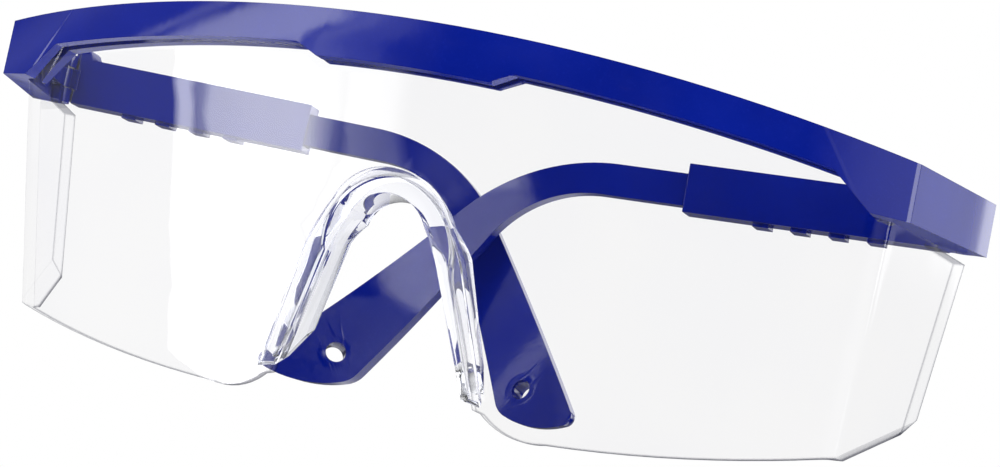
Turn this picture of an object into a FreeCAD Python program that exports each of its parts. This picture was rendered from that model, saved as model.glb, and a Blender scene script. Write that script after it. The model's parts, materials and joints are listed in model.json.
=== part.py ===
import FreeCAD, Part
import math
import os
import Sketcher

# Adjustable safety spectacles with the temples folded. Millimetres, +Z up, the front
# faces -Y, X = 0 is the plane of symmetry and the wearer's left is +X.
# Modelling origin: Y = 0 and Z = 0 are at the top of the frame's front corner.
# One common offset then moves every piece to its final place.

Vector = FreeCAD.Vector
Rotation = FreeCAD.Rotation
Placement = FreeCAD.Placement
X_AXIS = Vector(1, 0, 0)
Y_AXIS = Vector(0, 1, 0)
Z_AXIS = Vector(0, 0, 1)

# Driving dimensions: alias, value, note
CELLS = [
    # brow frame
    ("ridge_half_width", 72.5, "half width over the front corners of the brow"),
    ("brow_sag", 21.5, "how far the brow bows forward at the centre"),
    ("brow_arch", 6.05, "how far the brow rises at the centre"),
    ("brow_bar_height", 5.28, "height of the bar over the lens"),
    ("brow_bar_depth", 6.3, "front-to-back depth of the bar"),
    ("ridge_height", 8.55, "height of the front corner"),
    ("wing_end_half_width", 80.27, "half width over the rear ends of the wings"),
    ("wing_length", 26.88, "wing length from corner to rear end"),
    ("wing_end_drop", 0.28, "drop of the wing top at the rear end"),
    ("wing_end_height", 7.98, "height of the wing at the rear end"),
    ("wing_thick", 5.6, "thickness of the wing"),
    ("gusset_low_half", 67.0, "where the deep end begins, lower edge"),
    ("gusset_top_half", 61.3, "where the deep end begins, at the bar"),
    ("crown_low_half", 13.25, "half width of the drop at the centre, lower"),
    ("crown_top_half", 16.66, "half width of the drop at the centre, upper"),
    ("crown_drop", 1.7, "depth of the drop under the bar at the centre"),
    # fold hinge
    ("hinge_half_span", 76.2, "half distance between the fold axes"),
    ("hinge_back", 26.2, "fold axis behind the front corner"),
    ("hinge_level", -4.1, "mid height of the hinge"),
    ("lug_radius", 2.6, "hinge lug radius"),
    ("slot_height", 3.6, "slot between the hinge lugs"),
    ("slot_reach", 2.4, "slot reach past the fold axis"),
    ("knuckle_radius", 2.2, "hinge knuckle radius"),
    ("knuckle_height", 3.3, "hinge knuckle height"),
    ("pin_radius", 0.8, "fold screw shank radius"),
    ("pin_hole_radius", 0.86, "running bore of the knuckle"),
    ("lug_hole_radius", 0.81, "bore of the lugs"),
    ("head_radius", 1.5, "fold screw head radius"),
    ("head_height", 0.8, "fold screw head height"),
    ("head_bore_radius", 1.6, "counterbore radius"),
    # lens
    ("lens_thick", 1.9, "lens wall"),
    ("lens_level", -9.0, "level the lens stations are measured at"),
    ("crease_half_width", 68.93, "half width over the lens corners at that level"),
    ("crease_back", 1.49, "lens corner behind the ridge at that level"),
    ("lens_centre_back", -16.5, "lens front at the centre at that level"),
    ("lens_lean", 0.265, "rearward lean of the lens per unit of drop"),
    ("crease_taper", 0.0767, "narrowing of the lens corners per unit of drop"),
    ("shield_half_width", 76.6, "half width over the rear edges of the side shields"),
    ("shield_back", 31.93, "rear edge of the side shields"),
    ("shield_taper", 0.12, "narrowing of the shields per unit of drop"),
    ("shield_lean", 0.055, "rearward lean of the shield edge per unit of drop"),
    ("lens_corner_radius", 5.0, "outside radius of the rounded lens corner"),
    ("seat_depth", 3.0, "how deep the lens sits in the brow"),
    ("seat_gap", 0.1, "gap round the lens in its seat"),
    ("lobe_low_half", 26.5, "half distance between the lowest points of the lens"),
    ("lobe_low", -49.5, "lowest level of the lens"),
    ("corner_low", -42.8, "level of the lens corner at the bottom"),
    ("corner_low_half", 66.3, "half width over the bottom corners"),
    # nose saddle
    ("saddle_top", -14.6, "top of the saddle rim"),
    ("saddle_foot", -46.0, "foot of the saddle rim"),
    ("saddle_foot_half", 16.8, "half width over the feet"),
    ("saddle_depth", 7.4, "front-to-back depth of the saddle"),
    ("saddle_crown_half", 8.6, "half width of the crown arc of the saddle"),
    ("saddle_crown_drop", 5.8, "drop of the crown arc at its ends"),
    # temple sleeve
    ("temple_offset", 3.4, "temple mid plane behind the fold axis, folded"),
    ("temple_droop", 1.5, "droop of the temple from level, degrees"),
    ("sleeve_end", 43.63, "rear end of the sleeve from the fold axis"),
    ("sleeve_half_height", 3.86, "half height of the sleeve"),
    ("sleeve_thick", 5.0, "sleeve thickness"),
    ("sleeve_start", 1.3, "front end of the hinge cheek from the fold axis"),
    ("cheek_end", 4.9, "where the taller hinge cheek ends"),
    ("cheek_top", 5.5, "top of the hinge cheek"),
    ("bore_start", 10.4, "front end of the sliding bore"),
    ("slide_gap", 0.12, "running gap round the tongue"),
    ("rib_first", 12.5, "first detent rib from the sleeve end"),
    ("rib_pitch", 6.0, "detent pitch"),
    ("rib_width", 2.6, "detent rib width"),
    ("rib_height", 0.65, "detent rib height"),
    # temple arm
    ("arm_thick", 3.0, "arm thickness"),
    ("tongue_start", 17.5, "front end of the tongue from the fold axis"),
    ("arm_top", 2.35, "upper edge of the tongue"),
    ("arm_low", -2.75, "lower edge of the tongue"),
    ("hook_top_reach", 69.2, "bend corner, upper edge"),
    ("hook_low_reach", 67.9, "bend corner, lower edge"),
    ("tip_level", -37.9, "level of the tip corner"),
    ("heel_level", -38.6, "level of the heel corner"),
    ("sole_bow", 1.75, "how far the end of the ear hook bows out"),
    ("tip_top_reach", 101.5, "tip corner, upper edge"),
    ("tip_low_reach", 87.8, "heel corner, lower edge"),
    ("bend_top_radius", 29.6, "bend radius, upper edge"),
    ("bend_low_radius", 18.5, "bend radius, lower edge"),
    ("tip_radius", 1.5, "tip rounding"),
    ("heel_radius", 3.6, "heel rounding"),
    ("curl_radius", 102.0, "inward curl radius of the ear hook"),
    ("curl_start", 45.04, "where the inward curl begins, along the curl direction"),
    ("cord_hole_radius", 1.6, "cord hole radius"),
    ("cord_hole_reach", 91.5, "cord hole from the fold axis"),
    ("cord_hole_level", -35.0, "cord hole below the arm axis"),
    # rest pose
    ("fold_rest_left", 0.0, "tip-rearward angle of the folded left temple, degrees"),
    ("fold_rest_right", 4.9, "tip-rearward angle of the folded right temple, degrees"),
    # common offset
    ("origin_back", -7.2914, "common offset of every sub-part in Y"),
    ("origin_up", 49.7485, "common offset of every sub-part in Z"),
]


class Val:
    """A number together with the sheet expression it comes from."""

    def __init__(self, number, formula):
        self.number = float(number)
        self.formula = formula

    @staticmethod
    def of(other):
        return other if isinstance(other, Val) else Val(other, repr(float(other)))

    def __add__(self, other):
        other = Val.of(other)
        return Val(self.number + other.number, "(%s + %s)" % (self.formula, other.formula))

    def __sub__(self, other):
        other = Val.of(other)
        return Val(self.number - other.number, "(%s - %s)" % (self.formula, other.formula))

    def __mul__(self, other):
        other = Val.of(other)
        return Val(self.number * other.number, "(%s * %s)" % (self.formula, other.formula))

    def __truediv__(self, other):
        other = Val.of(other)
        return Val(self.number / other.number, "(%s / %s)" % (self.formula, other.formula))

    def __radd__(self, other):
        return Val.of(other) + self

    def __rsub__(self, other):
        return Val.of(other) - self

    def __rmul__(self, other):
        return Val.of(other) * self

    def __neg__(self):
        return Val(-self.number, "(0 - %s)" % self.formula)

    def is_driven(self):
        return "dims." in self.formula


class Dimensions:
    """Holds one Val per sheet alias, so dims.alias reads the same here and in the sheet."""


doc = FreeCAD.newDocument("safety_spectacles")
sheet = doc.addObject("Spreadsheet::Sheet", "dims")
dims = Dimensions()
for row, (alias, number, note) in enumerate(CELLS, start=1):
    sheet.set("A%d" % row, note)
    sheet.set("B%d" % row, str(number))
    sheet.setAlias("B%d" % row, alias)
    setattr(dims, alias, Val(number, "dims." + alias))
doc.recompute()


# ------------------------------------------------------------------ points and arcs
# An arc is (radius, (x, y) of a point on it between its ends). With radius None the
# arc has no radius constraint and keeps the shape it is drawn with.
def spot(x, y):
    return Vector(Val.of(x).number, Val.of(y).number, 0)


def arc_radius(half_chord, sag):
    return (half_chord * half_chord + sag * sag) / (2 * sag)


def bow(start, end, sag):
    """Arc over a chord; a positive sag bows to the left of the chord."""
    start, end = spot(*start), spot(*end)
    chord = end - start
    to_left = Vector(-chord.y, chord.x, 0) * (1 / chord.Length)
    bulge = (start + end) * 0.5 + to_left * sag
    return arc_radius(chord.Length / 2, abs(sag)), (bulge.x, bulge.y)


def mirrored(points):
    """The points mirrored in x = 0, in reverse order."""
    return [(-x, y) for x, y in reversed(points)]


def mirrored_arc(arc):
    radius, (x, y) = arc
    return radius, (-x, y)


def on_side(points, side):
    """Points laid out along +x, turned to the given side (1 or -1)."""
    return [(Val.of(x) * side, y) for x, y in points]


# ------------------------------------------------------------------ sketches
def new_sketch(body, role, name, base=(0, 0, 0), rotation=Rotation()):
    sketch = body.newObject("Sketcher::SketchObject", name)
    plane = next(o for o in body.Origin.OriginFeatures if o.Role == role)
    sketch.AttachmentSupport = [(plane, "")]
    sketch.MapMode = "FlatFace"
    sketch.AttachmentOffset = Placement(Vector(*base), rotation)
    sketch.Visibility = False
    return sketch


def bind(sketch, kind, args, value):
    """Adds one dimension and binds it to the sheet where it is driven from there."""
    i = sketch.addConstraint(Sketcher.Constraint(kind, *args, value.number))
    if value.is_driven():
        sketch.setExpression("Constraints[%d]" % i, value.formula)


def pin_point(sketch, edge, end, x, y):
    for kind, value, axis in (("DistanceX", x, -2), ("DistanceY", y, -1)):
        if abs(value.number) < 1e-9 and not value.is_driven():
            sketch.addConstraint(Sketcher.Constraint("PointOnObject", edge, end, axis))
        elif value.number >= 0:
            bind(sketch, kind, (-1, 1, edge, end), value)
        else:
            bind(sketch, kind, (edge, end, -1, 1), -value)


def wire(sketch, points, arcs=None):
    """Closed outline through the points; arcs maps the index of an edge to its arc."""
    arcs = arcs or {}
    points = [(Val.of(x), Val.of(y)) for x, y in points]
    corners = [spot(x, y) for x, y in points]
    edges = []
    for i, (start, end) in enumerate(zip(corners, corners[1:] + corners[:1])):
        forward = True
        if i in arcs:
            curve = Part.Arc(start, spot(*arcs[i][1]), end)
            edge = sketch.addGeometry(curve, False)
            forward = (sketch.getPoint(edge, 1) - start).Length < 1e-6
        else:
            edge = sketch.addGeometry(Part.LineSegment(start, end), False)
        edges.append((edge, 1, 2) if forward else (edge, 2, 1))
    for (edge, _, end), (follower, start, _) in zip(edges, edges[1:] + edges[:1]):
        sketch.addConstraint(Sketcher.Constraint("Coincident", edge, end, follower, start))
    for i, (edge, start, _) in enumerate(edges):
        pin_point(sketch, edge, start, *points[i])
        if i in arcs and arcs[i][0] is not None:
            bind(sketch, "Radius", (edge,), Val.of(arcs[i][0]))


def symmetric_wire(sketch, half, arcs, axis_point=None):
    """Outline from its +x half; arcs are given for that half and -1 is the closing edge."""
    points = half + ([axis_point] if axis_point else []) + mirrored(half)
    count = len(points)
    both = {}
    for i, arc in arcs.items():
        both[i % count] = arc
        if i >= 0:
            both[count - 2 - i] = mirrored_arc(arc)
    wire(sketch, points, both)


def rectangle(sketch, x_ends, y_ends):
    left, right = sorted(map(Val.of, x_ends), key=lambda value: value.number)
    low, high = y_ends
    wire(sketch, [(left, low), (right, low), (right, high), (left, high)])


def disc(sketch, x, y, radius):
    x, y, radius = Val.of(x), Val.of(y), Val.of(radius)
    circle = Part.Circle(spot(x, y), Z_AXIS, radius.number)
    edge = sketch.addGeometry(circle, False)
    pin_point(sketch, edge, 3, x, y)
    bind(sketch, "Radius", (edge,), radius)


# ------------------------------------------------------------------ features
def new_body(name):
    return doc.addObject("PartDesign::Body", name)


def set_length(feature, prop, value):
    value = Val.of(value)
    setattr(feature, prop, value.number)
    if value.is_driven():
        feature.setExpression(prop, value.formula)


def extrude(kind, body, sketch, name, length, symmetric=False, reverse=False):
    feature = body.newObject("PartDesign::" + kind, name)
    feature.Profile = sketch
    feature.Type = 0
    set_length(feature, "Length", length)
    if symmetric:
        # the property that centres a feature on its sketch depends on the FreeCAD version
        if "SideType" in feature.PropertiesList:
            feature.SideType = "Symmetric"
        else:
            feature.Midplane = True
    feature.Reversed = reverse
    doc.recompute()


def pad(*args, **options):
    extrude("Pad", *args, **options)


def pocket(*args, **options):
    extrude("Pocket", *args, **options)


def ruled_loft(body, name, sections):
    doc.recompute()
    loft = body.newObject("PartDesign::AdditiveLoft", name)
    loft.Profile = sections[0]
    loft.Sections = sections[1:]
    loft.Ruled = True
    doc.recompute()


def fillet_at(body, name, point, radius):
    """Rounds the edge of the tip shape that lies nearest the point."""
    tip = body.Tip
    edges = tip.Shape.Edges
    vertex = Part.Vertex(point)
    nearest = min(range(len(edges)), key=lambda i: edges[i].distToShape(vertex)[0])
    fillet = body.newObject("PartDesign::Fillet", name)
    fillet.Base = (tip, ["Edge%d" % (nearest + 1)])
    set_length(fillet, "Radius", radius)
    doc.recompute()


def cut(base, tool, name):
    result = doc.addObject("Part::Cut", name)
    result.Base = base
    result.Tool = tool
    doc.recompute()
    return result


def place(piece, local=Placement()):
    """Applies the common offset on top of the piece's own placement."""
    offset = Vector(0, dims.origin_back.number, dims.origin_up.number)
    piece.Placement = Placement(offset, Rotation()).multiply(local)


# ------------------------------------------------------------------ brow frame
CUT_HALF_WIDTH = 120.0  # half width of the outer rectangle of the front-view cuts
INNER_CORNER = 4.9  # inner corner of the brow plan, inward of and behind the outer one
WING_TOP = -dims.wing_end_drop
WING_LOW = WING_TOP - dims.wing_end_height


def bar_low_level(half_width):
    """Lower edge of the brow bar at a half width, following the arch of the top edge."""
    ridge = dims.ridge_half_width
    rise = dims.brow_arch * (1 - (half_width * half_width) / (ridge * ridge))
    return rise - dims.brow_bar_height


def brow_plan(body):
    ridge = dims.ridge_half_width
    wing_end = dims.wing_end_half_width
    corner_x = ridge - INNER_CORNER
    corner_y = Val.of(INNER_CORNER)
    inner_sag = corner_y + dims.brow_sag - dims.brow_bar_depth
    sketch = new_sketch(body, "XY_Plane", "brow_plan", base=(0, 0, -1))
    symmetric_wire(
        sketch,
        [
            (ridge, 0),
            (wing_end, dims.wing_length),
            (wing_end - dims.wing_thick, dims.wing_length),
            (corner_x, corner_y),
        ],
        {
            3: (arc_radius(corner_x, inner_sag), (0, corner_y - inner_sag)),
            -1: (arc_radius(ridge, dims.brow_sag), (0, -dims.brow_sag)),
        },
    )
    pad(body, sketch, "brow_plan_pad", 30, symmetric=True)


def brow_front(body):
    """Cuts away everything outside the front view of the brow."""
    ridge = dims.ridge_half_width
    cut_end = dims.wing_end_half_width + 3
    ridge_low = -dims.ridge_height
    gusset_top = (dims.gusset_top_half, bar_low_level(dims.gusset_top_half))
    crown_top = (dims.crown_top_half, bar_low_level(dims.crown_top_half))
    crown_low_level = crown_top[1] - dims.crown_drop
    crown_rise = 0.25
    bar_span = (dims.gusset_top_half - dims.crown_top_half).number
    bar_bow = 0.57 * (bar_span / 45.0) ** 2

    sketch = new_sketch(body, "XZ_Plane", "brow_front")
    rectangle(sketch, (-CUT_HALF_WIDTH, CUT_HALF_WIDTH), (-40, 40))
    symmetric_wire(
        sketch,
        [
            (ridge, 0),
            (cut_end, WING_TOP),
            (cut_end, WING_LOW),
            (ridge, ridge_low),
            (dims.gusset_low_half, ridge_low + 0.05),
            gusset_top,
            crown_top,
            (dims.crown_low_half, crown_low_level),
        ],
        {
            5: bow(gusset_top, crown_top, -bar_bow),
            7: (None, (0, crown_low_level + crown_rise)),
            -1: (arc_radius(ridge, dims.brow_arch), (0, dims.brow_arch)),
        },
    )
    pocket(body, sketch, "brow_front_cut", 200, symmetric=True)


def hinge_discs(sketch, radius):
    for side in (1, -1):
        disc(sketch, dims.hinge_half_span * side, dims.hinge_back, radius)


def brow_hinges(body):
    span, back = dims.hinge_half_span, dims.hinge_back
    sketch = new_sketch(body, "XY_Plane", "lug_plan", base=(0, 0, WING_LOW.number))
    hinge_discs(sketch, dims.lug_radius)
    pad(body, sketch, "hinge_lugs", dims.wing_end_height)

    sketch = new_sketch(body, "XY_Plane", "slot_plan", base=(0, 0, dims.hinge_level.number))
    for side in (1, -1):
        rectangle(
            sketch,
            ((span - 6.5) * side, (span + dims.slot_reach) * side),
            (back - dims.slot_reach - 0.1, back + 5.0),
        )
    pocket(body, sketch, "hinge_slot", dims.slot_height, symmetric=True)

    sketch = new_sketch(body, "XY_Plane", "lug_bore_plan")
    hinge_discs(sketch, dims.lug_hole_radius)
    pocket(body, sketch, "lug_bores", 40, symmetric=True)

    above = 1.0  # the counterbores start this far over the wing top
    base = (0, 0, WING_TOP.number + above)
    sketch = new_sketch(body, "XY_Plane", "head_bore_plan", base=base)
    hinge_discs(sketch, dims.head_bore_radius)
    pocket(body, sketch, "head_bores", above + dims.head_height + 0.05)


def brow_body():
    body = new_body("brow_body")
    brow_plan(body)
    brow_front(body)
    brow_hinges(body)
    return body


# ------------------------------------------------------------------ lens and its seat
LENS_LOFT_LEVELS = (("_low", -54.0), ("_high", 12.0))
# Plan directions (x, y) at the +x corner of the lens
CREASE_INWARD = (-0.861, 0.679)  # corner shift per unit of inset
SHIELD_INWARD = (-0.970, 0.244)  # shift of the shield's rear edge per unit of inset
ALONG_SHIELD = (0.2437, 0.9699)  # from the corner to the rear
ALONG_FRONT = (-0.8725, -0.4886)  # from the corner towards the centre
TANGENT_PER_RADIUS = 0.4307  # tangent length of the corner rounding


def lens_curve(level, inset):
    """Plan curve from -x to +x, set in from the outer face: points and three arcs."""
    rise = level - dims.lens_level
    lean = dims.lens_lean * rise
    centre_y = dims.lens_centre_back - lean + inset
    corner_x = dims.crease_half_width + dims.crease_taper * rise + CREASE_INWARD[0] * inset
    corner_y = dims.crease_back - lean + CREASE_INWARD[1] * inset
    rear = (
        dims.shield_half_width + dims.shield_taper * rise + SHIELD_INWARD[0] * inset,
        dims.shield_back - dims.shield_lean * rise + SHIELD_INWARD[1] * inset,
    )
    radius = dims.lens_corner_radius - inset
    tangent = TANGENT_PER_RADIUS * radius
    shield, front = (
        (corner_x + along[0] * tangent, corner_y + along[1] * tangent)
        for along in (ALONG_SHIELD, ALONG_FRONT)
    )

    middle = (spot(*shield) + spot(*front)) * 0.5
    half_chord = (spot(*shield) - middle).Length
    sag = radius.number - math.sqrt(radius.number ** 2 - half_chord ** 2)
    to_corner = spot(corner_x, corner_y) - middle
    bulge = middle + to_corner * (sag / to_corner.Length)
    corner_arc = (radius, (bulge.x, bulge.y))
    front_arc = (arc_radius(front[0], front[1] - centre_y), (0, centre_y))

    half = [front, shield, rear]
    return mirrored(half) + half, [mirrored_arc(corner_arc), front_arc, corner_arc]


def lens_section(body, name, level, gap):
    outer, outer_arcs = lens_curve(level, Val.of(-gap))
    inner, inner_arcs = lens_curve(level, dims.lens_thick + gap)
    sketch = new_sketch(body, "XY_Plane", name, base=(0, 0, level))
    arcs = dict(zip((1, 2, 3, 7, 8, 9), outer_arcs + inner_arcs[::-1]))
    wire(sketch, outer + inner[::-1], arcs)
    return sketch


def lens_outline(body, name, gap):
    """Cuts away everything outside the front view of the lens."""
    side_reach = 90  # past the side shields
    top_centre = dims.brow_arch - dims.brow_bar_height + dims.seat_depth + gap
    top_end = bar_low_level(dims.gusset_top_half) + dims.seat_depth + gap
    top_half = dims.gusset_top_half - 0.4 + gap
    step_level = -dims.ridge_height + 2.3 + gap
    corner = (dims.corner_low_half, dims.corner_low)
    lobe = (dims.lobe_low_half, dims.lobe_low)
    # notch for the nose, set back inside the saddle rim
    foot_x = dims.saddle_foot_half - 0.9 - 0.9 * gap
    foot_z = dims.saddle_foot - 0.6
    foot_outer = (foot_x + 1.3, foot_z - 0.35)
    shoulder_x = foot_x - 6.0
    notch_top = dims.saddle_top - 1.3 - gap

    sketch = new_sketch(body, "XZ_Plane", name + "_front")
    rectangle(sketch, (-CUT_HALF_WIDTH, CUT_HALF_WIDTH), (-90, 40))
    symmetric_wire(
        sketch,
        [
            (top_half, top_end),
            (dims.gusset_low_half - 0.6 + gap, step_level),
            (side_reach, step_level),
            (side_reach, -14.0),
            corner,
            lobe,
            foot_outer,
            (foot_x, foot_z),
            (shoulder_x, foot_z + 19.0),
        ],
        {
            4: bow(corner, lobe, 1.15),
            5: bow(lobe, foot_outer, 1.2),
            8: (None, (shoulder_x * 0.72, notch_top - 3.35)),
            -1: (arc_radius(top_half, top_centre - top_end), (0, top_centre)),
        },
        axis_point=(0, notch_top),
    )
    pocket(body, sketch, name + "_outline", 200, symmetric=True)


def lens_body(name, gap):
    """Wrap-round lens; grown by a gap it is the tool that cuts its seat."""
    body = new_body(name)
    sections = [lens_section(body, name + end, z, gap) for end, z in LENS_LOFT_LEVELS]
    ruled_loft(body, name + "_shell", sections)
    lens_outline(body, name, gap)

    # lower the top edge of the side shields, behind the brow corner
    sketch = new_sketch(body, "YZ_Plane", name + "_side")
    front, rear, over = 20.5 + gap, 60, 30
    level = -dims.ridge_height - 0.35 + gap
    wire(sketch, [(front, level), (rear, level - 1.6), (rear, over), (front, over)])
    pocket(body, sketch, name + "_shield_top", 300, symmetric=True)
    return body


# ------------------------------------------------------------------ nose saddle
# U-shaped sections on planes parallel to the lens: name, depth behind the lens front,
# spread of the limbs, shift of the top, rim width inside and outside, lift of the feet
SADDLE_SECTIONS = [
    ("saddle_front", -0.75, 0.0, 0.0, 2.2, 0.7, 0.0),
    ("saddle_mid", 2.6, -0.2, -0.7, 2.4, 0.6, 0.9),
    ("saddle_rear", dims.saddle_depth.number, -1.2, -2.7, 2.0, 0.5, 4.5),
]


def shallow_arc(first, second, out, up):
    """Free arc through the mid point of its ends, moved out and up."""
    return None, ((first[0] + second[0]) / 2 + out, (first[1] + second[1]) / 2 + up)


def saddle_section(body, name, depth, spread, top_shift, rim_in, rim_out, lift):
    lens_level = dims.lens_level.number
    lean = math.atan(dims.lens_lean.number)
    rotation = Rotation(X_AXIS, math.degrees(lean))
    # the sketch's z points to the front, so going deeper is -z
    base = Vector(0, lens_level, -dims.lens_centre_back.number)
    base += rotation.multVec(Vector(0, 0, -depth))
    sketch = new_sketch(body, "XZ_Plane", name, base=base, rotation=rotation)

    def up_slope(level):
        return (level - lens_level) / math.cos(lean)

    rim = rim_in + rim_out
    foot_x = dims.saddle_foot_half + spread
    foot_z = up_slope(dims.saddle_foot)
    top_z = up_slope(dims.saddle_top + top_shift)
    # straight limbs from the foot to the shoulder, then a bend to the crown arc;
    # a lifted foot slides up along the limb
    foot = (foot_x + rim_out - 0.28 * lift, foot_z + lift)
    shoulder = (foot_x - 5.5 + rim_out - spread * 0.35, foot_z + 19.8)
    crown = (dims.saddle_crown_half + spread * 0.5, top_z - dims.saddle_crown_drop)
    inner_foot = (foot_x - rim_in - 0.32 * lift, foot_z + 0.6 + lift)
    inner_shoulder = (shoulder[0] - rim * 1.22, shoulder[1] - rim * 0.3)
    inner_crown = (crown[0] - rim * 0.95, crown[1] - rim * 0.72)
    outer = [foot, shoulder, crown]
    inner = [inner_crown, inner_shoulder, inner_foot]
    outer_bend = shallow_arc(shoulder, crown, 0.17, 0.09)
    inner_bend = shallow_arc(inner_shoulder, inner_crown, 0.14, 0.08)
    wire(
        sketch,
        outer + mirrored(outer) + mirrored(inner) + inner,
        {
            1: outer_bend,
            2: (None, (0, top_z)),
            3: mirrored_arc(outer_bend),
            7: mirrored_arc(inner_bend),
            8: (None, (0, top_z - rim * 1.32)),
            9: inner_bend,
        },
    )
    return sketch


def saddle_body():
    body = new_body("saddle_body")
    sections = [saddle_section(body, *section) for section in SADDLE_SECTIONS]
    ruled_loft(body, "saddle_shell", sections)
    return body


# ------------------------------------------------------------------ per-side parts
# Each is modelled with the fold axis at X = Y = 0. Side is the X direction in which
# the folded temple runs: -1 for the left temple, 1 for the right one.
def hinge_place(side):
    fold = dims.fold_rest_right if side > 0 else dims.fold_rest_left
    axis = (-side * dims.hinge_half_span.number, dims.hinge_back.number, dims.hinge_level.number)
    return Placement(Vector(*axis), Rotation(Z_AXIS, side * fold.number))


def sleeve_shell(body, tag, side):
    """Outer box with the hinge cheek, and the detent ribs below it."""
    half_height, thick = dims.sleeve_half_height, dims.sleeve_thick
    start, end = dims.sleeve_start, dims.sleeve_end
    cheek_end, cheek_top = dims.cheek_end, dims.cheek_top
    rear_face = (dims.temple_offset + thick / 2).number
    droop = Rotation(Z_AXIS, -side * dims.temple_droop.number)

    base = (0, 0, -rear_face)
    sketch = new_sketch(body, "XZ_Plane", "sleeve_side_" + tag, base=base, rotation=droop)
    outline = [
        (start, -half_height + 0.7),
        (start + 1.2, -half_height),
        (end, -half_height),
        (end, half_height),
        (cheek_end, half_height),
        (cheek_end - 0.7, cheek_top - 0.35),
        (cheek_end - 1.2, cheek_top),
        (start + 0.9, cheek_top),
        (start, cheek_top - 0.9),
    ]
    wire(sketch, on_side(outline, side))
    pad(body, sketch, "sleeve_box_" + tag, thick)

    rib_inset = 0.5  # from both faces of the sleeve
    base = (0, 0, rib_inset - rear_face)
    sketch = new_sketch(body, "XZ_Plane", "rib_side_" + tag, base=base, rotation=droop)
    half_rib = dims.rib_width / 2
    for i in range(4):
        centre = end - dims.rib_first - dims.rib_pitch * i
        rectangle(
            sketch,
            ((centre - half_rib) * side, (centre + half_rib) * side),
            (-half_height - dims.rib_height, -half_height + 0.3),
        )
    pad(body, sketch, "ribs_" + tag, thick - 2 * rib_inset)


def sleeve_knuckle(body, tag, side):
    height = dims.knuckle_height
    sketch = new_sketch(body, "XY_Plane", "knuckle_plan_" + tag)
    disc(sketch, 0, 0, dims.knuckle_radius)
    pad(body, sketch, "knuckle_" + tag, height, symmetric=True)

    sketch = new_sketch(body, "XY_Plane", "web_plan_" + tag)
    rectangle(sketch, (0, side * 3.2), (0, dims.knuckle_radius))
    pad(body, sketch, "knuckle_web_" + tag, height, symmetric=True)

    # room for the lugs above and below the knuckle
    for where, up in (("over_", 1), ("under_", -1)):
        base = (0, 0, up * height.number / 2)
        sketch = new_sketch(body, "XY_Plane", "lug_room_plan_" + where + tag, base=base)
        disc(sketch, 0, 0, dims.lug_radius + 0.25)
        pocket(body, sketch, "lug_room_" + where + tag, 9.0, reverse=(up > 0))

    sketch = new_sketch(body, "XY_Plane", "pin_bore_plan_" + tag)
    disc(sketch, 0, 0, dims.pin_hole_radius)
    pocket(body, sketch, "pin_bore_" + tag, 12, symmetric=True)


def sleeve_bore(body, tag, side):
    """Sliding bore for the tongue, from the rear end of the sleeve."""
    droop = math.radians(dims.temple_droop.number)
    end = dims.sleeve_end.number
    gap = dims.slide_gap
    middle = dims.temple_offset
    half = dims.arm_thick / 2 + gap
    # in the YZ plane the sketch's x, y, z are Y, Z, X
    sketch = new_sketch(
        body,
        "YZ_Plane",
        "bore_plan_" + tag,
        base=(0, -end * math.sin(droop), side * end * math.cos(droop)),
        rotation=Rotation(X_AXIS, side * dims.temple_droop.number),
    )
    rectangle(sketch, (middle - half, middle + half), (dims.arm_low - gap, dims.arm_top + gap))
    length = dims.sleeve_end - dims.bore_start
    pocket(body, sketch, "bore_" + tag, length, reverse=(side < 0))


def sleeve_body(tag, side):
    body = new_body("sleeve_body_" + tag)
    sleeve_shell(body, tag, side)
    sleeve_knuckle(body, tag, side)
    sleeve_bore(body, tag, side)
    place(body, hinge_place(side))
    return body


CURL_TILT = 30.0  # degrees the curl direction points down from the tongue
CURL_SWEEP = math.radians(52.0)  # how far round the curl the side cuts reach


def arm_blank(body, tag, side):
    """Side view of the arm, far thicker than the arm, with its corners rounded."""
    low_bend = (dims.hook_low_reach, dims.arm_low)
    heel = (dims.tip_low_reach, dims.heel_level)
    tip = (dims.tip_top_reach, dims.tip_level)
    top_bend = (dims.hook_top_reach, dims.arm_top)
    start = dims.tongue_start
    outline = [(start, dims.arm_low), low_bend, heel, tip, top_bend, (start, dims.arm_top)]
    radius, (bulge_x, bulge_z) = bow(heel, tip, -dims.sole_bow.number)
    sketch = new_sketch(body, "XZ_Plane", "arm_side_" + tag, base=(0, 0, -9))
    wire(sketch, on_side(outline, side), {2: (radius, (side * bulge_x, bulge_z))})
    pad(body, sketch, "arm_blank_" + tag, 60)

    for name, (x, z), radius in (
        ("bend_top_", top_bend, dims.bend_top_radius),
        ("bend_low_", low_bend, dims.bend_low_radius),
        ("heel_", heel, dims.heel_radius),
        ("tip_", tip, dims.tip_radius),
    ):
        fillet_at(body, name + tag, Vector(side * x.number, 0, z.number), radius)


def curl_cut(body, tag, side, name, radius, far_x, far_y):
    """Cuts from one face of the arm out to far_y; far_x None ends just past the curl."""
    straight_end = dims.curl_start
    centre_y = dims.temple_offset - dims.curl_radius

    def on_curl(angle):
        return (
            straight_end.number + radius.number * math.sin(angle),
            centre_y.number + radius.number * math.cos(angle),
        )

    end_x, end_y = on_curl(CURL_SWEEP)
    bulge_x, bulge_y = on_curl(CURL_SWEEP / 2)
    if far_x is None:
        far_x = end_x + 1.0
    face_y = centre_y + radius
    near_x = -15
    outline = [
        (near_x, face_y),
        (straight_end, face_y),
        (end_x, end_y),
        (far_x, end_y),
        (far_x, far_y),
        (near_x, far_y),
    ]
    tilt = Rotation(Y_AXIS, side * CURL_TILT)
    sketch = new_sketch(body, "XY_Plane", name + "_curl_" + tag, rotation=tilt)
    wire(sketch, on_side(outline, side), {1: (radius, (side * bulge_x, bulge_y))})
    pocket(body, sketch, name + "_side_" + tag, 400, symmetric=True)


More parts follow.
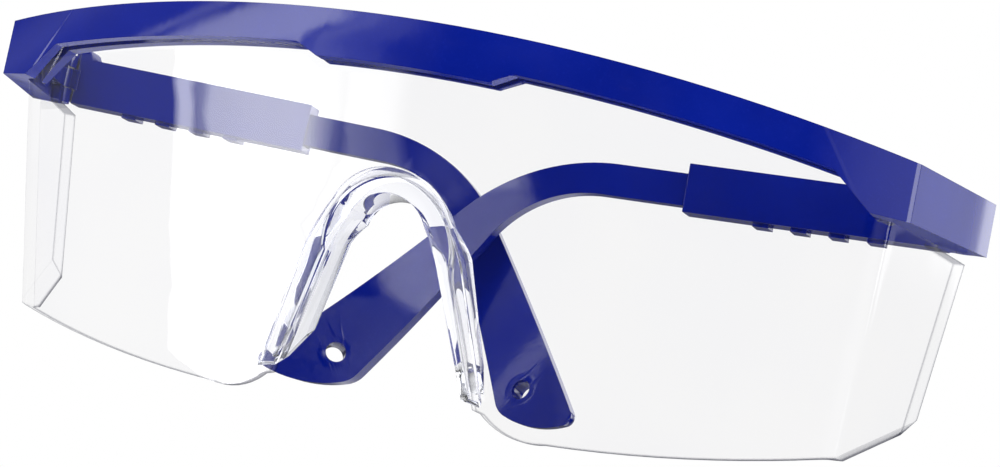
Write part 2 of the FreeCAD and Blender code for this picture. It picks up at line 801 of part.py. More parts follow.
def cord_hole(body, tag, side):
    """Hole square to the curled sheet."""
    reach, level = dims.cord_hole_reach.number, dims.cord_hole_level.number
    radius = dims.curl_radius.number
    tilt = math.radians(CURL_TILT)
    along = reach * math.cos(tilt) - level * math.sin(tilt) - dims.curl_start.number
    inward = radius - math.sqrt(radius ** 2 - along ** 2)
    centre = Vector(side * reach, dims.temple_offset.number - inward, level)
    # turning about the curl axis brings +Y onto the outward normal of the sheet
    curl_axis = Vector(side * math.sin(tilt), 0, math.cos(tilt))
    turn = Rotation(curl_axis, -side * math.degrees(math.asin(along / radius)))
    # both are expressed in the frame of the XZ plane
    plane = Rotation(X_AXIS, 90)
    to_plane = plane.inverted()
    sketch = new_sketch(
        body,
        "XZ_Plane",
        "cord_hole_plan_" + tag,
        base=to_plane.multVec(centre),
        rotation=to_plane.multiply(turn).multiply(plane),
    )
    disc(sketch, 0, 0, dims.cord_hole_radius)
    pocket(body, sketch, "cord_hole_" + tag, 10, symmetric=True)


def arm_body(tag, side):
    body = new_body("arm_body_" + tag)
    arm_blank(body, tag, side)
    # two cuts leave a sheet that runs straight, then curls inward
    half = dims.arm_thick / 2
    curl_cut(body, tag, side, "rear", dims.curl_radius + half, far_x=170, far_y=60)
    curl_cut(body, tag, side, "front", dims.curl_radius - half, far_x=None, far_y=-120)
    cord_hole(body, tag, side)
    droop = Placement(Vector(), Rotation(Y_AXIS, side * dims.temple_droop.number))
    place(body, hinge_place(side).multiply(droop))
    return body


def screw_body(tag, side):
    body = new_body("screw_body_" + tag)
    wing_top = WING_TOP.number
    head = dims.head_height
    end_gap = 0.25  # shank end above the underside of the wing
    overlap = 0.02  # shank into the head

    base = (0, 0, WING_LOW.number + end_gap)
    sketch = new_sketch(body, "XY_Plane", "shank_plan_" + tag, base=base)
    disc(sketch, 0, 0, dims.pin_radius)
    pad(body, sketch, "shank_" + tag, dims.wing_end_height - end_gap - head + overlap)

    base = (0, 0, wing_top - head.number)
    sketch = new_sketch(body, "XY_Plane", "head_plan_" + tag, base=base)
    disc(sketch, 0, 0, dims.head_radius)
    pad(body, sketch, "head_" + tag, head - 0.05)

    sketch = new_sketch(body, "XY_Plane", "drive_plan_" + tag, base=(0, 0, wing_top))
    rectangle(sketch, (-2, 2), (-0.2, 0.2))
    pocket(body, sketch, "drive_slot_" + tag, 0.4)
    axis = Vector(-side * dims.hinge_half_span.number, dims.hinge_back.number, 0)
    place(body, Placement(axis, Rotation()))
    return body


# ------------------------------------------------------------------ assembly and export
brow = brow_body()
lens = lens_body("lens_body", 0.0)
seat = lens_body("seat_tool", dims.seat_gap)
saddle = saddle_body()
pieces = {
    "brow_frame": cut(brow, seat, "brow_frame"),
    "lens_shield": lens,
    "nose_saddle": cut(saddle, seat, "nose_saddle"),
}
for piece in pieces.values():
    place(piece)
for tag, side in (("left", -1), ("right", 1)):
    pieces["fold_screw_" + tag] = screw_body(tag, side)
    pieces["temple_sleeve_" + tag] = sleeve_body(tag, side)
    pieces["temple_arm_" + tag] = arm_body(tag, side)

doc.recompute()
bad = [o.Name for o in doc.Objects if "Invalid" in o.State or "Error" in o.State]
if bad:
    raise RuntimeError("invalid objects: %s" % ", ".join(bad))
os.makedirs("parts", exist_ok=True)
for label, piece in pieces.items():
    piece.Label = label
    shape = piece.Shape
    if shape.isNull() or not shape.isValid():
        raise RuntimeError("bad shape: " + label)
    if len(shape.Solids) != 1:
        raise RuntimeError("%s has %d solids" % (label, len(shape.Solids)))
    shape.exportStep("parts/%s.step" % label)
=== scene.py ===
# Eyewear with a blue brow bar, a one-piece clear lens, a clear nose saddle and folded blue
# temples. X runs across it with the mid-plane at X = 0, the front faces -Y and Z is up.

import json
import math
from functools import reduce

import bpy
from mathutils import Matrix, Vector


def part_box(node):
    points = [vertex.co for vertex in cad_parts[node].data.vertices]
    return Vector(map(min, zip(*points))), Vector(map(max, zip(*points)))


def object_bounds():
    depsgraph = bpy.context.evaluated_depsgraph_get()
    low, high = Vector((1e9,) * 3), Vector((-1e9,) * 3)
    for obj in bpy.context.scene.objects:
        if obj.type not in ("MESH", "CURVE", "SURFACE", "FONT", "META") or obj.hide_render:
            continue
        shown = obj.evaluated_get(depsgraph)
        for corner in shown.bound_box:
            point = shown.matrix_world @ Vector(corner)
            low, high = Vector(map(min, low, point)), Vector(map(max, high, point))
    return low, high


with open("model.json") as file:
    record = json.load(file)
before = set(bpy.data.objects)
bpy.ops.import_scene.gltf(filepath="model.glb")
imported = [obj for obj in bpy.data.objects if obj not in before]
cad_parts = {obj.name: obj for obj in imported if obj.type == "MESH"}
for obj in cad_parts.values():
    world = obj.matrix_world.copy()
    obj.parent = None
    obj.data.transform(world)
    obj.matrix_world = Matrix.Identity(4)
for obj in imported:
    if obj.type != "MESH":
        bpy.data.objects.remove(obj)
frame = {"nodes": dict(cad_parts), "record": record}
cad_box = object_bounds()
scene = bpy.context.scene
NODES = frame["nodes"]
SIDES = ("left", "right")
MM = 0.001

# Reference point: the mid-plane, at the top of the front corner of the brow
brow_low, brow_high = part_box("brow_frame")
ORIGIN = Vector((0.0, brow_low.y + 0.0215, brow_high.z - 0.00605))

# The bar's arch: it drops this far, in mm, at this distance from the mid-plane
ARCH_DROP = 6.05
ARCH_REACH = 72.5
ARCH_CURVE = ARCH_DROP / ARCH_REACH ** 2

WHITE = (1, 1, 1, 1)


# ------------------------------------------------------------------ node helpers
class Tree:
    """Short-hand for building a tree of shader nodes."""

    def __init__(self, node_tree):
        self.tree = node_tree
        self.tree.nodes.clear()

    def add(self, kind, sockets=None, **props):
        """A node; sockets maps input names or indices to values or linked outputs."""
        node = self.tree.nodes.new("ShaderNode" + kind)
        for key, value in props.items():
            setattr(node, key, value)
        for key, value in (sockets or {}).items():
            if isinstance(value, bpy.types.NodeSocket):
                self.tree.links.new(value, node.inputs[key])
            else:
                node.inputs[key].default_value = value
        return node

    def math(self, operation, *values, clamp=False):
        inputs = dict(enumerate(values))
        return self.add("Math", inputs, operation=operation, use_clamp=clamp).outputs[0]

    def plus(self, first, second, clamp=False):
        return self.math("ADD", first, second, clamp=clamp)

    def minus(self, first, second):
        return self.math("SUBTRACT", first, second)

    def times(self, first, second, clamp=False):
        return self.math("MULTIPLY", first, second, clamp=clamp)

    def vector(self, operation, *values):
        node = self.add("VectorMath", dict(enumerate(values)), operation=operation)
        return node.outputs["Value" if operation in ("DOT_PRODUCT", "LENGTH") else 0]

    def ramp(self, value, span, out=(0.0, 1.0)):
        """Smooth step from out[0] to out[1] while value crosses the span."""
        inputs = dict(enumerate((value, *span, *out)))
        return self.add("MapRange", inputs, interpolation_type="SMOOTHSTEP").outputs[0]

    def mix(self, share, first, second):
        return self.add("Mix", {0: share, 6: first, 7: second}, data_type="RGBA").outputs[2]

    def noise(self, place, scale, detail=2.0, rough=0.5):
        inputs = {"Vector": place, "Scale": scale, "Detail": detail, "Roughness": rough}
        return self.add("TexNoise", inputs).outputs[0]

    def bump(self, height, strength, distance, **normal):
        """Bumped normal; Normal= gives one to build on."""
        inputs = {"Strength": strength, "Distance": distance, "Height": height, **normal}
        return self.add("Bump", inputs).outputs[0]

    def split(self, vector):
        """The X, Y and Z of a vector."""
        return self.add("SeparateXYZ", {0: vector}).outputs

    def reframe(self, vector, source, target):
        """A direction turned from one space to another."""
        node = self.add("VectorTransform", {0: vector}, vector_type="VECTOR",
                        convert_from=source, convert_to=target)
        return node.outputs[0]

    def object_place(self):
        return self.add("TexCoord").outputs["Object"]

    def edge_turn(self, normal, radius, samples):
        """How far a rounded normal leans from the given one: 0 away from edges."""
        soft = self.add("Bevel", {"Radius": radius}, samples=samples).outputs[0]
        return self.minus(1.0, self.vector("DOT_PRODUCT", soft, normal))

    def mix_shader(self, share, first, second):
        inputs = {0: share, 1: first.outputs[0], 2: second.outputs[0]}
        return self.add("MixShader", inputs)

    def output(self, shader, kind="OutputMaterial"):
        self.add(kind, {"Surface": shader.outputs[0]})


def new_material(name):
    material = bpy.data.materials.new(name)
    material.use_nodes = True
    return material, Tree(material.node_tree)


def bar_place(tree, place):
    """X and Z in mm from the reference point."""
    x, _, z = tree.split(tree.vector("SUBTRACT", place, tuple(ORIGIN)))
    return tree.times(x, 1000.0), tree.times(z, 1000.0)


# ------------------------------------------------------------------ blue moulded plastic
BLUE_DEEP = (0.0008, 0.0062, 0.150, 1)
BLUE_LIGHT = (0.0014, 0.0085, 0.185, 1)
BLUE_FLECK = (0.01, 0.022, 0.3, 1)
# painted shade, darkening the rounded edges
BLUE_EDGE_SHADE = (0.0009, 0.0035, 0.095, 1)
# painted bounce light, lightening the bar's underside
BLUE_UNDERSIDE_BOUNCE_LIGHT = (0.011, 0.021, 0.235, 1)
BLUE_SPECULAR = 0.5
# How strongly each of these shows over the base colour
FLECK_SHARE = 0.12
EDGE_SHADE_SHARE = 0.55
UNDERSIDE_BOUNCE_SHARE = 0.85
UNDERSIDE_DULLING = 0.72
# What the hairlines add to the roughness and to the height of the fine bump
HAIR_ROUGHNESS = 0.06
HAIR_HEIGHT = 0.5


def blue_colour(tree, place, facing, fleck):
    """Slow drift of the moulding, pigment fleck, and painted shade along the rounded edges."""
    drift = tree.noise(place, scale=38.0, detail=3.0, rough=0.55)
    colour = tree.mix(tree.ramp(drift, span=(0.35, 0.7)), BLUE_DEEP, BLUE_LIGHT)
    fleck_share = tree.times(tree.ramp(fleck, span=(0.55, 0.8)), FLECK_SHARE)
    colour = tree.mix(fleck_share, colour, BLUE_FLECK)
    edge = tree.ramp(tree.edge_turn(facing, radius=0.00035, samples=4), span=(0.0, 0.08))
    return tree.mix(tree.times(edge, EDGE_SHADE_SHARE), colour, BLUE_EDGE_SHADE)


def sink_mark(tree, place, normal, hole):
    """Shallow sink mark round the cord hole: the normal leans away from the hole."""
    offset = tree.vector("SUBTRACT", place, hole)
    reach = tree.vector("LENGTH", offset)
    away = tree.reframe(tree.vector("NORMALIZE", offset), "OBJECT", "WORLD")
    inner = tree.ramp(reach, span=(0.0017, 0.0022))
    outer = tree.ramp(reach, span=(0.0023, 0.0036), out=(0.16, 0.0))
    inputs = {0: away, "Scale": tree.times(inner, outer)}
    lean = tree.add("VectorMath", inputs, operation="SCALE").outputs[0]
    return tree.vector("NORMALIZE", tree.vector("ADD", normal, lean))


# The bar's front face, in mm from the reference point
FACE_MIDDLE_Z = 3.4
FACE_HALF_HEIGHT = 2.7
WAVE_RATE = 2.6  # radians per half height
TWIST_OFFSET = 0.0
# The crease at each deep end crosses Z = 0 at this X, and moves inward with height
CREASE_X = 60.6
CREASE_SLOPE = 0.66
RIDGE_X = 72.15


def bar_slant(tree, x, z):
    """Sideways lean of the front face: a twist along the bar and a slow S at the middle."""
    arch = tree.times(tree.times(x, x), -ARCH_CURVE)
    height = tree.plus(tree.minus(z, FACE_MIDDLE_Z), tree.times(arch, -1.0))
    height = tree.math("DIVIDE", height, FACE_HALF_HEIGHT)
    twist = tree.plus(tree.ramp(x, span=(-24.0, -12.0), out=(0.062, 0.022)), TWIST_OFFSET)
    twist = tree.times(twist, tree.ramp(x, span=(-2.0, 10.0), out=(1.0, 0.0)))
    wave_size = tree.times(
        tree.ramp(x, span=(-20.0, -12.0)),
        tree.ramp(x, span=(-2.0, 6.0), out=(0.014, 0.0)),
    )
    wave = tree.times(tree.math("SINE", tree.times(height, WAVE_RATE)), wave_size)
    return tree.minus(tree.times(tree.times(height, twist), -1.0), wave)


def bar_end_lean(tree, x, z):
    """Sideways lean where the bar runs into its deep ends: crease, ridge at +X and facet."""
    crease_line = tree.minus(CREASE_X, tree.times(z, CREASE_SLOPE))
    run = tree.minus(tree.math("ABSOLUTE", x), crease_line)
    crease = tree.times(
        tree.ramp(tree.math("ABSOLUTE", run), span=(0.12, 0.45), out=(0.30, 0.0)),
        tree.ramp(x, span=(-10.0, 10.0), out=(0.85, 0.2)),
    )
    facet = tree.ramp(run, span=(0.0, 0.5), out=(0.0, 0.035))
    facet = tree.times(facet, tree.math("SIGN", x))
    from_ridge = tree.math("ABSOLUTE", tree.minus(x, RIDGE_X))
    ridge = tree.ramp(from_ridge, span=(0.15, 0.38), out=(0.42, 0.0))
    return tree.plus(tree.plus(crease, ridge), facet)


def bar_normal(tree, place, facing, normal):
    """The bar's normal with its slant, its end creases and its rounded-off wings."""
    x, z = bar_place(tree, place)
    # creases and facets show only on the face turned to the front
    ahead = tree.ramp(tree.vector("DOT_PRODUCT", facing, (0, -1, 0)), span=(0.3, 0.6))
    shift = tree.plus(bar_slant(tree, x, z), tree.times(ahead, bar_end_lean(tree, x, z)))
    # each wing rounds off toward its rear end
    wing = tree.ramp(tree.math("ABSOLUTE", x), span=(77.6, 80.3), out=(0.0, 0.15))
    push = tree.add("CombineXYZ", {0: shift, 1: wing}).outputs[0]
    return tree.vector("NORMALIZE", tree.vector("ADD", normal, push))


def blue_plastic(name, bar=False, hole=None):
    """Glossy moulded blue; bar adds the brow bar's features and painted bounce light on its
    underside, hole a sink mark.
    """
    material, tree = new_material(name)
    place = tree.object_place()
    facing = tree.add("NewGeometry").outputs["Normal"]
    fleck = tree.noise(place, scale=2600.0, detail=1.0)
    colour = blue_colour(tree, place, facing, fleck)
    specular = BLUE_SPECULAR
    if bar:
        # the underside of the bar is duller, and its colour is lightened with painted bounce light
        # from below
        under = tree.ramp(tree.vector("DOT_PRODUCT", facing, (0, 0, -1)), span=(0.45, 0.8))
        colour = tree.mix(tree.times(under, UNDERSIDE_BOUNCE_SHARE), colour, BLUE_UNDERSIDE_BOUNCE_LIGHT)
        specular = tree.minus(1.0, tree.times(under, UNDERSIDE_DULLING))
        specular = tree.times(specular, BLUE_SPECULAR)
    # flow marks, handling haze and hairlines in the gloss
    haze = tree.noise(place, scale=120.0, detail=4.0, rough=0.6)
    stretch = tree.add("Mapping", {"Vector": place, "Scale": (0.12, 1.0, 3.0)}).outputs[0]
    hair = tree.noise(stretch, scale=900.0)
    rough = tree.plus(
        tree.ramp(haze, span=(0.3, 0.75), out=(0.07, 0.15)),
        tree.times(tree.ramp(hair, span=(0.62, 0.8)), HAIR_ROUGHNESS),
    )
    flow = tree.bump(tree.noise(place, scale=260.0), strength=0.06, distance=0.0004)
    grain = tree.plus(fleck, tree.times(hair, HAIR_HEIGHT))
    normal = tree.bump(grain, strength=0.02, distance=0.00005, Normal=flow)
    if hole is not None:
        normal = sink_mark(tree, place, normal, hole)
    if bar:
        normal = bar_normal(tree, place, facing, normal)
    tree.output(tree.add("BsdfPrincipled", {
        "Base Color": colour,
        "Roughness": rough,
        "IOR": 1.49,
        "Specular IOR Level": specular,
        "Normal": normal,
    }))
    return material


# ------------------------------------------------------------------ clear plastics
FINE_HEIGHT = 0.02  # height of the fine ripple against the broad one
# Painted shade where the lens turns sharply at an edge
LENS_EDGE_SHADE = 0.62
# Gloss of the lens seen square on, and what is added at a grazing view
LENS_GLOSS = 0.085
LENS_GRAZE_GLOSS = 0.10
GRAZE_POWER = 5.0
BAR_UNDERSIDE_Z = 0.77  # at the mid-plane, in mm
MAX_GLASS_DEPTH = 4.5


def wiped_gloss(tree, place, bump_strength):
    """Faint wipe marks in the gloss: broad ripple, roughness and bumped normal."""
    ripple = tree.noise(place, scale=55.0, detail=1.5, rough=0.4)
    fine = tree.noise(place, scale=700.0)
    smear = tree.noise(place, scale=160.0, detail=3.0, rough=0.6)
    smear = tree.ramp(smear, span=(0.5, 0.85), out=(0.0, 0.035))
    height = tree.plus(ripple, tree.times(fine, FINE_HEIGHT))
    return ripple, smear, tree.bump(height, strength=bump_strength, distance=0.0004)


def lighting_ray(tree, path):
    """1 for the shadow and diffuse rays that carry light, else 0."""
    return tree.math("MAXIMUM", path["Is Shadow Ray"], path["Is Diffuse Ray"])


def lens_tint(tree, surface, ripple, graze):
    """Light let through: a little lost everywhere, with painted shade where the sheet turns at an
    edge, on its downward and rearward rims and where it is seen on edge.
    """
    turn = tree.edge_turn(surface["Normal"], radius=0.0007, samples=6)
    edge = tree.ramp(turn, span=(0.01, 0.16))
    _, rearward, upward = tree.split(surface["Normal"])
    rim_shade = tree.math(
        "MAXIMUM",
        tree.ramp(tree.times(upward, -1.0), span=(0.45, 0.8), out=(0.0, 0.6)),
        tree.ramp(rearward, span=(0.75, 0.92), out=(0.0, 0.22)),
    )
    shade = tree.plus(
        tree.ramp(graze, span=(0.90, 1.0), out=(0.0, 0.5)),
        tree.math("MAXIMUM", tree.times(edge, LENS_EDGE_SHADE), rim_shade),
        clamp=True,
    )
    # dark is the painted shade mixed in at the edges, rims and grazing views
    cool, pale, dark = (0.992, 0.992, 0.998, 1), (0.999, 0.998, 1.0, 1), (0.06, 0.065, 0.12, 1)
    tint = tree.mix(tree.ramp(ripple, span=(0.3, 0.7)), cool, pale)
    return tree.mix(shade, tint, dark)


def below_bar(tree, place):
    """0 close under the bar, where the sheet faces the bar and shows no studio light."""
    x, z = bar_place(tree, place)
    underside = tree.minus(BAR_UNDERSIDE_Z, tree.times(tree.times(x, x), ARCH_CURVE))
    # the bar's underside lies lower at the middle
    dip = tree.ramp(tree.math("ABSOLUTE", x), span=(13.25, 16.7), out=(1.7, 0.0))
    underside = tree.minus(underside, dip)
    clear_of_bar = tree.ramp(tree.minus(underside, z), span=(1.25, 1.65))
    return tree.math("MAXIMUM", clear_of_bar, tree.ramp(x, span=(-8.0, 2.0)))


def lens_plastic():
    """Thin polished sheet: see-through, glossy, with painted shade as dark thin lines at its
    edges.
    """
    material, tree = new_material("lens_clear")
    place = tree.object_place()
    surface = tree.add("NewGeometry").outputs
    ripple, smear, normal = wiped_gloss(tree, place, bump_strength=0.012)
    facing = tree.vector("DOT_PRODUCT", surface["Normal"], surface["Incoming"])
    graze = tree.minus(1.0, tree.math("ABSOLUTE", facing))
    tint = lens_tint(tree, surface, ripple, graze)
    clear = tree.add("BsdfTransparent", {"Color": tint})
    gloss = tree.add("BsdfGlossy", {"Roughness": smear, "Normal": normal})
    growth = tree.times(tree.math("POWER", graze, GRAZE_POWER), LENS_GRAZE_GLOSS)
    front = tree.minus(1.0, surface["Backfacing"])
    weight = tree.times(tree.plus(LENS_GLOSS, growth), front, clamp=True)
    weight = tree.times(weight, below_bar(tree, place))
    seen = tree.minus(1.0, lighting_ray(tree, tree.add("LightPath").outputs))
    tree.output(tree.mix_shader(tree.times(weight, seen), clear, gloss))
    return material


def saddle_plastic():
    """Solid clear plastic: refracts for the camera, and lets light through for lighting."""
    material, tree = new_material("saddle_clear")
    ripple, smear, normal = wiped_gloss(tree, tree.object_place(), bump_strength=0.07)
    tint = (0.965, 0.97, 0.99, 1)
    glass = tree.add("BsdfGlass", {
        "IOR": 1.36,
        "Roughness": smear,
        "Color": tree.mix(tree.ramp(ripple, span=(0.3, 0.7)), tint, WHITE),
        "Normal": normal,
    }, distribution="GGX")
    clear = tree.add("BsdfTransparent", {"Color": (0.93, 0.94, 0.96, 1)})
    path = tree.add("LightPath").outputs
    # light trapped inside leaves after a few turns
    trapped = tree.math("GREATER_THAN", path["Ray Depth"], MAX_GLASS_DEPTH)
    passing = tree.math("MAXIMUM", lighting_ray(tree, path), trapped)
    tree.output(tree.mix_shader(passing, glass, clear))
    return material


def screw_metal():
    """Grey metal with a fine grain and soft blotches."""
    material, tree = new_material("screw_metal")
    place = tree.object_place()
    grain = tree.noise(place, scale=3000.0, detail=3.0, rough=0.6)
    blotch = tree.ramp(tree.noise(place, scale=400.0), span=(0.35, 0.7))
    dark, light = (0.42, 0.43, 0.45, 1), (0.62, 0.63, 0.65, 1)
    tree.output(tree.add("BsdfPrincipled", {
        "Base Color": tree.mix(blotch, dark, light),
        "Metallic": 1.0,
        "Roughness": tree.ramp(grain, span=(0.3, 0.7), out=(0.25, 0.42)),
        "Normal": tree.bump(grain, strength=0.25, distance=0.00003),
    }))
    return material


def hole_place(name):
    """Where a cord hole is at rest, from the frame's mounts, or None."""
    for mount in frame["record"].get("mounts", []):
        if mount.get("name") == name:
            return tuple(mount["pos_m"])
    return None


FRAME_BLUE = blue_plastic("frame_blue", bar=True)
TEMPLE_BLUE = blue_plastic("temple_blue")
ARM_BLUE = {
    side: blue_plastic("arm_blue_" + side, hole=hole_place("cord_hole_" + side))
    for side in SIDES
}
LENS_CLEAR = lens_plastic()
SADDLE_CLEAR = saddle_plastic()
SCREW = screw_metal()


# ------------------------------------------------------------------ pieces
SHARP_DEGREES = 28
BEVEL_LIMIT_DEGREES = 33.0


def smooth_group():
    """Geometry nodes: smooth shading, sharp over SHARP_DEGREES, with no stored normals."""
    group = bpy.data.node_groups.new("smooth_over_%d" % SHARP_DEGREES, "GeometryNodeTree")
    for direction in ("INPUT", "OUTPUT"):
        group.interface.new_socket(
            "Geometry", in_out=direction, socket_type="NodeSocketGeometry")
    new, link = group.nodes.new, group.links.new
    entry, result = new("NodeGroupInput"), new("NodeGroupOutput")
    strip = new("GeometryNodeRemoveAttribute")
    strip.inputs["Name"].default_value = "custom_normal"
    faces = new("GeometryNodeSetShadeSmooth")
    faces.domain = "FACE"
    faces.inputs["Shade Smooth"].default_value = True
    edges = new("GeometryNodeSetShadeSmooth")
    edges.domain = "EDGE"
    angle = new("GeometryNodeInputMeshEdgeAngle")
    shallow = new("FunctionNodeCompare")
    shallow.operation = "LESS_EQUAL"
    shallow.inputs[1].default_value = math.radians(SHARP_DEGREES)
    link(entry.outputs[0], strip.inputs["Geometry"])
    link(strip.outputs[0], faces.inputs["Geometry"])
    link(faces.outputs[0], edges.inputs["Geometry"])
    link(angle.outputs["Unsigned Angle"], shallow.inputs[0])
    link(shallow.outputs[0], edges.inputs["Shade Smooth"])
    link(edges.outputs[0], result.inputs[0])
    return group


SMOOTH = smooth_group()


def dress(name, material, bevel_mm, segments=3, broad=True):
    """Give a piece its material, rounded edges and smooth shading."""
    piece = NODES[name]
    piece.data.materials.clear()
    piece.data.materials.append(material)
    weld = piece.modifiers.new("weld", "WELD")
    weld.merge_threshold = 2e-6
    bevel = piece.modifiers.new("round", "BEVEL")
    bevel.width = bevel_mm * MM
    bevel.segments = segments
    bevel.limit_method = "ANGLE"
    bevel.angle_limit = math.radians(BEVEL_LIMIT_DEGREES)
    bevel.use_clamp_overlap = True
    bevel.miter_outer = "MITER_SHARP"
    smooth = piece.modifiers.new("smooth", "NODES")
    smooth.node_group = SMOOTH
    if broad:
        # broad faces keep their true direction beside the rounded edges
        weighted = piece.modifiers.new("broad", "WEIGHTED_NORMAL")
        weighted.keep_sharp = True
        weighted.weight = 90


dress("brow_frame", FRAME_BLUE, bevel_mm=0.45)
# the bar would hide the studio from the arms folded behind it
NODES["brow_frame"].visible_glossy = False
for side in SIDES:
    dress("temple_sleeve_" + side, TEMPLE_BLUE, bevel_mm=0.3)
    dress("temple_arm_" + side, ARM_BLUE[side], bevel_mm=0.4)
    dress("fold_screw_" + side, SCREW, bevel_mm=0.08, segments=2)
dress("lens_shield", LENS_CLEAR, bevel_mm=0.3, broad=False)
dress("nose_saddle", SADDLE_CLEAR, bevel_mm=0.55, broad=False)


# ------------------------------------------------------------------ floor
def floor_material():
    """Pale matt floor, see-through from below."""
    material, tree = new_material("pale_floor")
    backfacing = tree.add("NewGeometry").outputs["Backfacing"]
    cloud = tree.noise(tree.object_place(), scale=14.0, detail=3.0)
    dark, light = (0.80, 0.80, 0.805, 1), (0.83, 0.83, 0.835, 1)
    colour = tree.mix(tree.ramp(cloud, span=(0.3, 0.7)), dark, light)
    matt = tree.add("BsdfDiffuse", {"Color": colour})
    tree.output(tree.mix_shader(backfacing, matt, tree.add("BsdfTransparent")))
    return material


FLOOR_GAP = 0.0002
bpy.ops.mesh.primitive_grid_add(
    x_subdivisions=8, y_subdivisions=8, size=3.0, location=(0, 0, cad_box[0][2] - FLOOR_GAP))
floor = bpy.context.object
floor.name = "floor"
floor.data.materials.append(floor_material())
floor.visible_glossy = False

# ------------------------------------------------------------------ studio
# Azimuth is 0 toward -Y and 90 toward +X; azimuth and elevation are in degrees.
# Rings of reflected light: (azimuth, strength)
# seen in the upright faces of the frame and temples
RING_HIGH = (
    (-180, 0.3), (-165, 0.12), (-100, 0.15), (-93, 0.35), (-85, 0.5), (-74, 0.3),
    (-58.2, 0.28), (-57.4, 2.4), (-56.4, 2.4), (-55.6, 0.5), (-53, 0.7), (-50, 4.2),
    (-46, 4.7), (-35, 5.2), (-33.0, 5.0), (-32.0, 0.3), (-30.0, 0.3), (-29.4, 2.6),
    (-28.4, 2.6), (-27.6, 0.9), (-21, 0.75), (-19.5, 0.25), (-13, 0.02), (40, 0.02),
    (46, 0.36),
)
# a rear panel, seen in the +X wing only
RING_REAR = (
    (-180, 0.0), (45, 0.0), (46, 0.36), (53, 0.9), (56, 1.0), (75, 1.4), (120, 1.3),
    (139, 1.3), (150, 1.35), (172, 0.6), (180, 0.3),
)
# seen in the sloping front of the lens
RING_LOW = (
    (-180, 0.1), (-100, 0.1), (-80, 0.4), (-57.0, 0.4), (-56.4, 6.6), (-53.9, 6.6),
    (-53.2, 0.3), (-52.4, 0.3), (-51.6, 6.2), (-44, 7.2), (-34.5, 7.4), (-33.4, 4.2),
    (-31.4, 2.6), (-31.0, 0.9), (-30.7, 3.8), (-30.2, 3.8), (-29.9, 0.9), (-29.4, 0.9),
    (-29.1, 3.6), (-28.6, 3.6), (-28.1, 2.0), (-21.4, 1.0), (-20.8, 0.05), (50, 0.04),
    (70, 0.35), (100, 0.25), (112, 0.03), (180, 0.03),
)
RING_SEAM = (45.0, 46.0)  # azimuths over which the high ring gives way to the rear one
RING_SCALE = 10.0  # keeps the strengths within a colour ramp's 0 to 1

# Soft boxes, in groups summed before they are added:
# (azimuth span, elevation span, strength, azimuth softness, elevation softness)
SOFT_BOXES = (
    (((-1.6, 22.8), (15.6, 32.0), 4.6, 0.8, 0.8), ((12.0, 22.8), (22.5, 32.0), 2.5, 0.8, 0.8)),
    (((-64.5, -59.5), (22.0, 33.0), 2.6, 0.8, 1.0), ((-90.0, -40.0), (18.0, 32.0), 0.5, 1.5, 2.0)),
    (((76.0, 122.0), (-6.0, 30.0), 4.0, 1.5, 2.0),),
    (((150.0, 168.0), (3.0, 16.0), 1.15, 3.0, 2.0),),
    (((-185.0, -135.0), (1.0, 30.0), 0.9, 1.5, 2.0),),
    (
        ((100.0, 185.0), (-60.0, -13.0), 0.7, 1.5, 2.0),
        ((-185.0, -100.0), (-60.0, -13.0), 0.7, 1.5, 2.0),
    ),
)


def ring_level(sky, azimuth, stops):
    """Strength round the horizon, from a table of stops that starts at -180."""
    turn = sky.math("DIVIDE", sky.plus(azimuth, 180.0), 360.0)
    node = sky.add("ValToRGB", {0: turn})
    elements = node.color_ramp.elements
    elements.remove(elements[-1])
    for i, (degrees, strength) in enumerate(stops):
        element = elements.new((degrees + 180) / 360) if i else elements[0]
        grey = strength / RING_SCALE
        element.color = (grey, grey, grey, 1)
    return sky.times(node.outputs[0], RING_SCALE)


def within(sky, angle, span, softness):
    """1 inside a span of degrees, with soft ends."""
    start, end = span
    return sky.times(
        sky.ramp(angle, span=(start - softness, start + softness)),
        sky.ramp(angle, span=(end - softness, end + softness), out=(1.0, 0.0)),
    )


def reflected_level(sky, azimuth, elevation):
    """The studio as glossy surfaces see it."""
    high, rear, low = (
        ring_level(sky, azimuth, stops) for stops in (RING_HIGH, RING_REAR, RING_LOW))
    upper = sky.ramp(elevation, span=(-9.0, -6.0))
    before_seam = sky.ramp(azimuth, span=RING_SEAM, out=(1.0, 0.0))
    rear = sky.times(rear, sky.ramp(elevation, span=(-1.0, 3.0)))
    ring = sky.plus(
        sky.times(high, sky.times(upper, before_seam)),
        sky.times(rear, sky.ramp(azimuth, span=RING_SEAM)),
    )
    ring = sky.plus(ring, sky.times(low, sky.minus(1.0, upper)))
    band = sky.times(
        sky.ramp(elevation, span=(-46, -36)),
        sky.ramp(elevation, span=(13.5, 19), out=(1.0, 0.10)),
    )
    level = sky.times(ring, band)
    for group in SOFT_BOXES:
        boxes = [
            sky.times(sky.times(within(sky, azimuth, across, soft_across),
                                within(sky, elevation, upright, soft_upright)), strength)
            for across, upright, strength, soft_across, soft_upright in group
        ]
        level = sky.plus(level, reduce(sky.plus, boxes))
    overhead = sky.ramp(elevation, span=(50, 75), out=(0.0, 1.6))
    underneath = sky.ramp(elevation, span=(-60, -48), out=(0.7, 0.0))
    return sky.plus(level, sky.plus(overhead, underneath))


def choose(sky, flag, chosen, other):
    return sky.plus(sky.times(flag, chosen), sky.times(sky.minus(1.0, flag), other))


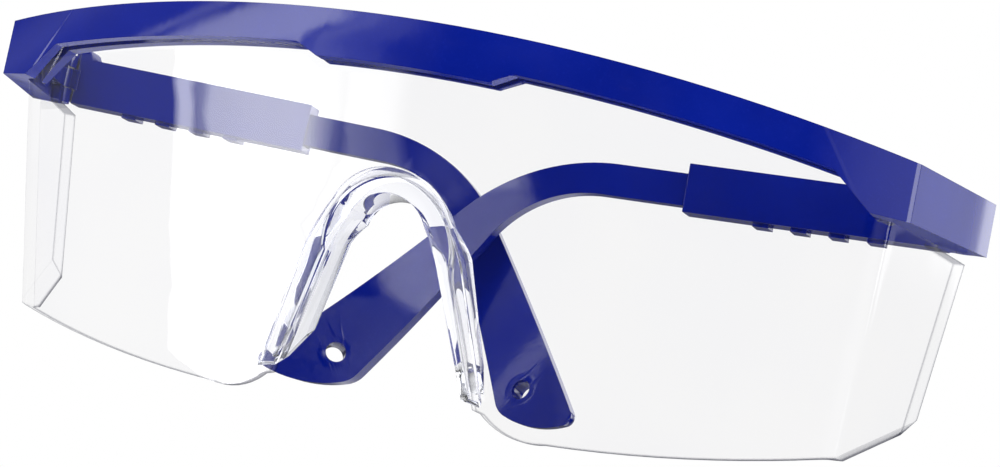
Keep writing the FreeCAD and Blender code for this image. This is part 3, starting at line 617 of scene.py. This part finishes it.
def build_world():
    """A different studio for reflected, diffuse, refracted and camera rays."""
    world = bpy.data.worlds.new("studio")
    scene.world = world
    world.use_nodes = True
    sky = Tree(world.node_tree)
    direction = sky.add("TexCoord").outputs["Generated"]
    x, y, z = sky.split(direction)
    azimuth = sky.times(sky.math("ARCTAN2", x, sky.times(y, -1.0)), 180 / math.pi)
    elevation = sky.times(sky.math("ARCSINE", z), 180 / math.pi)
    glossy = reflected_level(sky, azimuth, elevation)
    # rays bent by clear plastic meet a bright panel behind the object, darker to the sides
    _, _, depth = sky.split(sky.reframe(direction, "WORLD", "CAMERA"))
    panel_edge = (math.cos(math.radians(66)), math.cos(math.radians(42)))
    panel = sky.ramp(sky.math("ABSOLUTE", depth), span=panel_edge, out=(0.42, 1.0))
    path = sky.add("LightPath").outputs
    diffuse = sky.ramp(z, span=(-0.6, 0.9), out=(0.62, 0.95))
    level = choose(sky, path["Is Diffuse Ray"], diffuse, glossy)
    level = choose(sky, path["Is Transmission Ray"], panel, level)
    level = choose(sky, path["Is Camera Ray"], 1.0, level)
    tone = sky.mix(path["Is Camera Ray"], (0.985, 0.985, 1.0, 1), WHITE)
    sky.output(sky.add("Background", {"Color": tone, "Strength": level}), "OutputWorld")


def area(name, azimuth, elevation, distance, size, power):
    """A rectangular lamp aimed at the middle of the pieces, hidden from view."""
    data = bpy.data.lights.new(name, "AREA")
    data.shape = "RECTANGLE"
    data.size, data.size_y = size
    data.energy = power
    lamp = bpy.data.objects.new(name, data)
    scene.collection.objects.link(lamp)
    turn, rise = math.radians(azimuth), math.radians(elevation)
    away = Vector((
        math.sin(turn) * math.cos(rise), -math.cos(turn) * math.cos(rise), math.sin(rise)))
    centre = (Vector(cad_box[0]) + Vector(cad_box[1])) / 2
    lamp.location = centre + away * distance
    lamp.rotation_euler = away.to_track_quat("Z", "Y").to_euler()
    lamp.visible_camera = False
    lamp.visible_glossy = False
    lamp.visible_transmission = False


build_world()
area("key", azimuth=-40, elevation=48, distance=0.9, size=(0.7, 0.5), power=5.0)
area("fill", azimuth=60, elevation=35, distance=1.0, size=(0.8, 0.6), power=2.2)
area("back", azimuth=170, elevation=55, distance=1.0, size=(0.8, 0.5), power=2.5)

# ------------------------------------------------------------------ camera
CAMERA_MM = (137.17, -396.21, -59.99)  # from the reference point
camera_data = bpy.data.cameras.new("camera")
camera = bpy.data.objects.new("camera", camera_data)
scene.collection.objects.link(camera)
camera_data.sensor_fit = "HORIZONTAL"
camera_data.sensor_width = 36.0
camera_data.lens = 101.64
camera_data.clip_start = 0.01
right = Vector((0.9405, 0.2747, 0.1999)).normalized()
forward = Vector((-0.2978, 0.9498, 0.0958)).normalized()
up = right.cross(forward).normalized()
forward = up.cross(right).normalized()
turned = Matrix((right, up, -forward)).transposed().to_4x4()
camera.matrix_world = Matrix.Translation(Vector(CAMERA_MM) * MM + ORIGIN) @ turned
scene.camera = camera

# ------------------------------------------------------------------ render
scene.view_settings.view_transform = "Standard"
scene.view_settings.look = "None"
cycles = scene.cycles
cycles.use_denoising = True
cycles.max_bounces = 14
cycles.transmission_bounces = 12
cycles.transparent_max_bounces = 16
cycles.caustics_reflective = False
cycles.caustics_refractive = False
cycles.sample_clamp_indirect = 6.0
